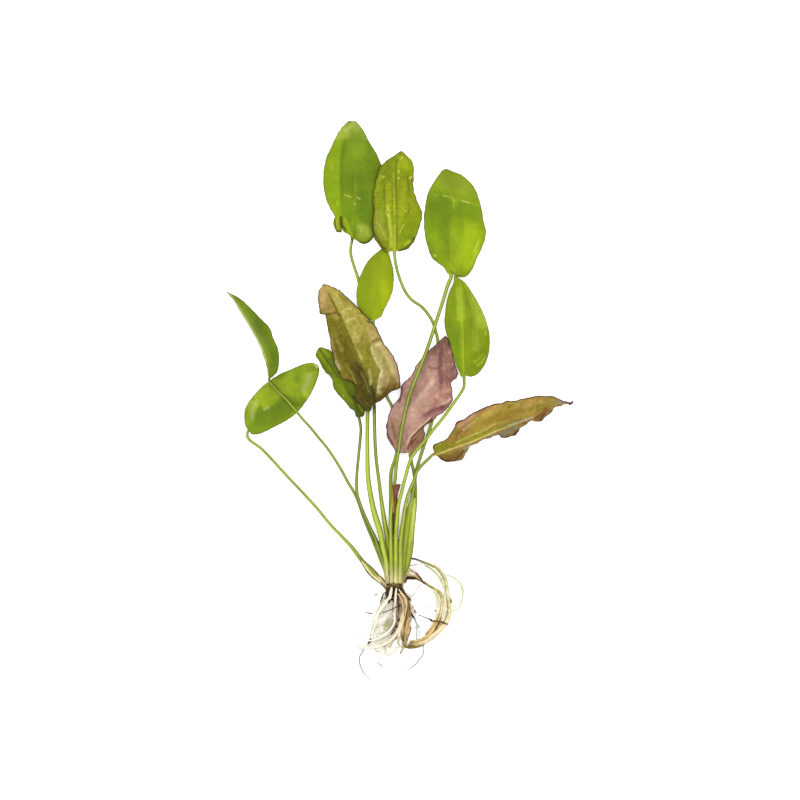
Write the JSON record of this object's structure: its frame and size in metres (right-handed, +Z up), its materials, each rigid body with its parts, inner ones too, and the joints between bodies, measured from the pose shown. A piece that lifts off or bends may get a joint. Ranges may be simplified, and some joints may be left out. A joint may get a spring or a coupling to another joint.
{
  "type": "echinodorus plant",
  "caption": "Bare-root sword plant lying flat: long-stalked oval leaves in green, bronze, pink and gold on a short crown with a tangle of pale and brown roots.",
  "frame": {"origin": "on the surface that the plant lies on, under the middle of its outline", "axes": "+Y runs from the roots to the leaf tips, +X to the right as seen from above with the leaves away from the viewer, +Z up from the surface"},
  "size_m": [0.1906, 0.3078, 0.0124],
  "materials": {
    "leaf_green": "satin",
    "leaf_yellow_green": "satin",
    "leaf_bronze": "satin",
    "leaf_pink": "satin",
    "leaf_gold": "satin",
    "leaf_red_brown": "satin",
    "crown": "matte",
    "dry_leaf": "matte",
    "root_white": "satin",
    "root_tan": "satin",
    "root_brown": "matte",
    "root_olive": "matte",
    "root_grey": "matte"
  },
  "bodies": {
    "root": {"leaf_tall_left": "leaf_green", "leaf_speckled_middle": "leaf_yellow_green", "leaf_broad_right": "leaf_green", "leaf_small_oval": "leaf_yellow_green", "leaf_bronze": "leaf_bronze", "leaf_narrow_green": "leaf_green", "leaf_edge_on": "leaf_green", "leaf_glossy_left": "leaf_green", "leaf_drooping_right": "leaf_green", "leaf_pink": "leaf_pink", "leaf_gold": "leaf_gold", "leaf_young_rolled": "leaf_red_brown", "crown": "crown", "dry_leaf_strip": "dry_leaf", "root_white_left": "root_white", "root_white_outer": "root_white", "root_white_middle": "root_white", "root_cream_long": "root_white", "root_cream_inner": "root_white", "root_dark_thin": "root_brown", "root_tan_outer": "root_tan", "root_brown_inner": "root_tan", "root_pale_loop": "root_tan", "root_olive": "root_olive", "root_grey_thread": "root_grey", "root_twig": "root_brown", "root_fibre_upper": "root_brown", "root_hair_left": "root_grey", "root_hair_right": "root_grey", "rootlet_dark": "root_brown"}
  },
  "joints": []
}
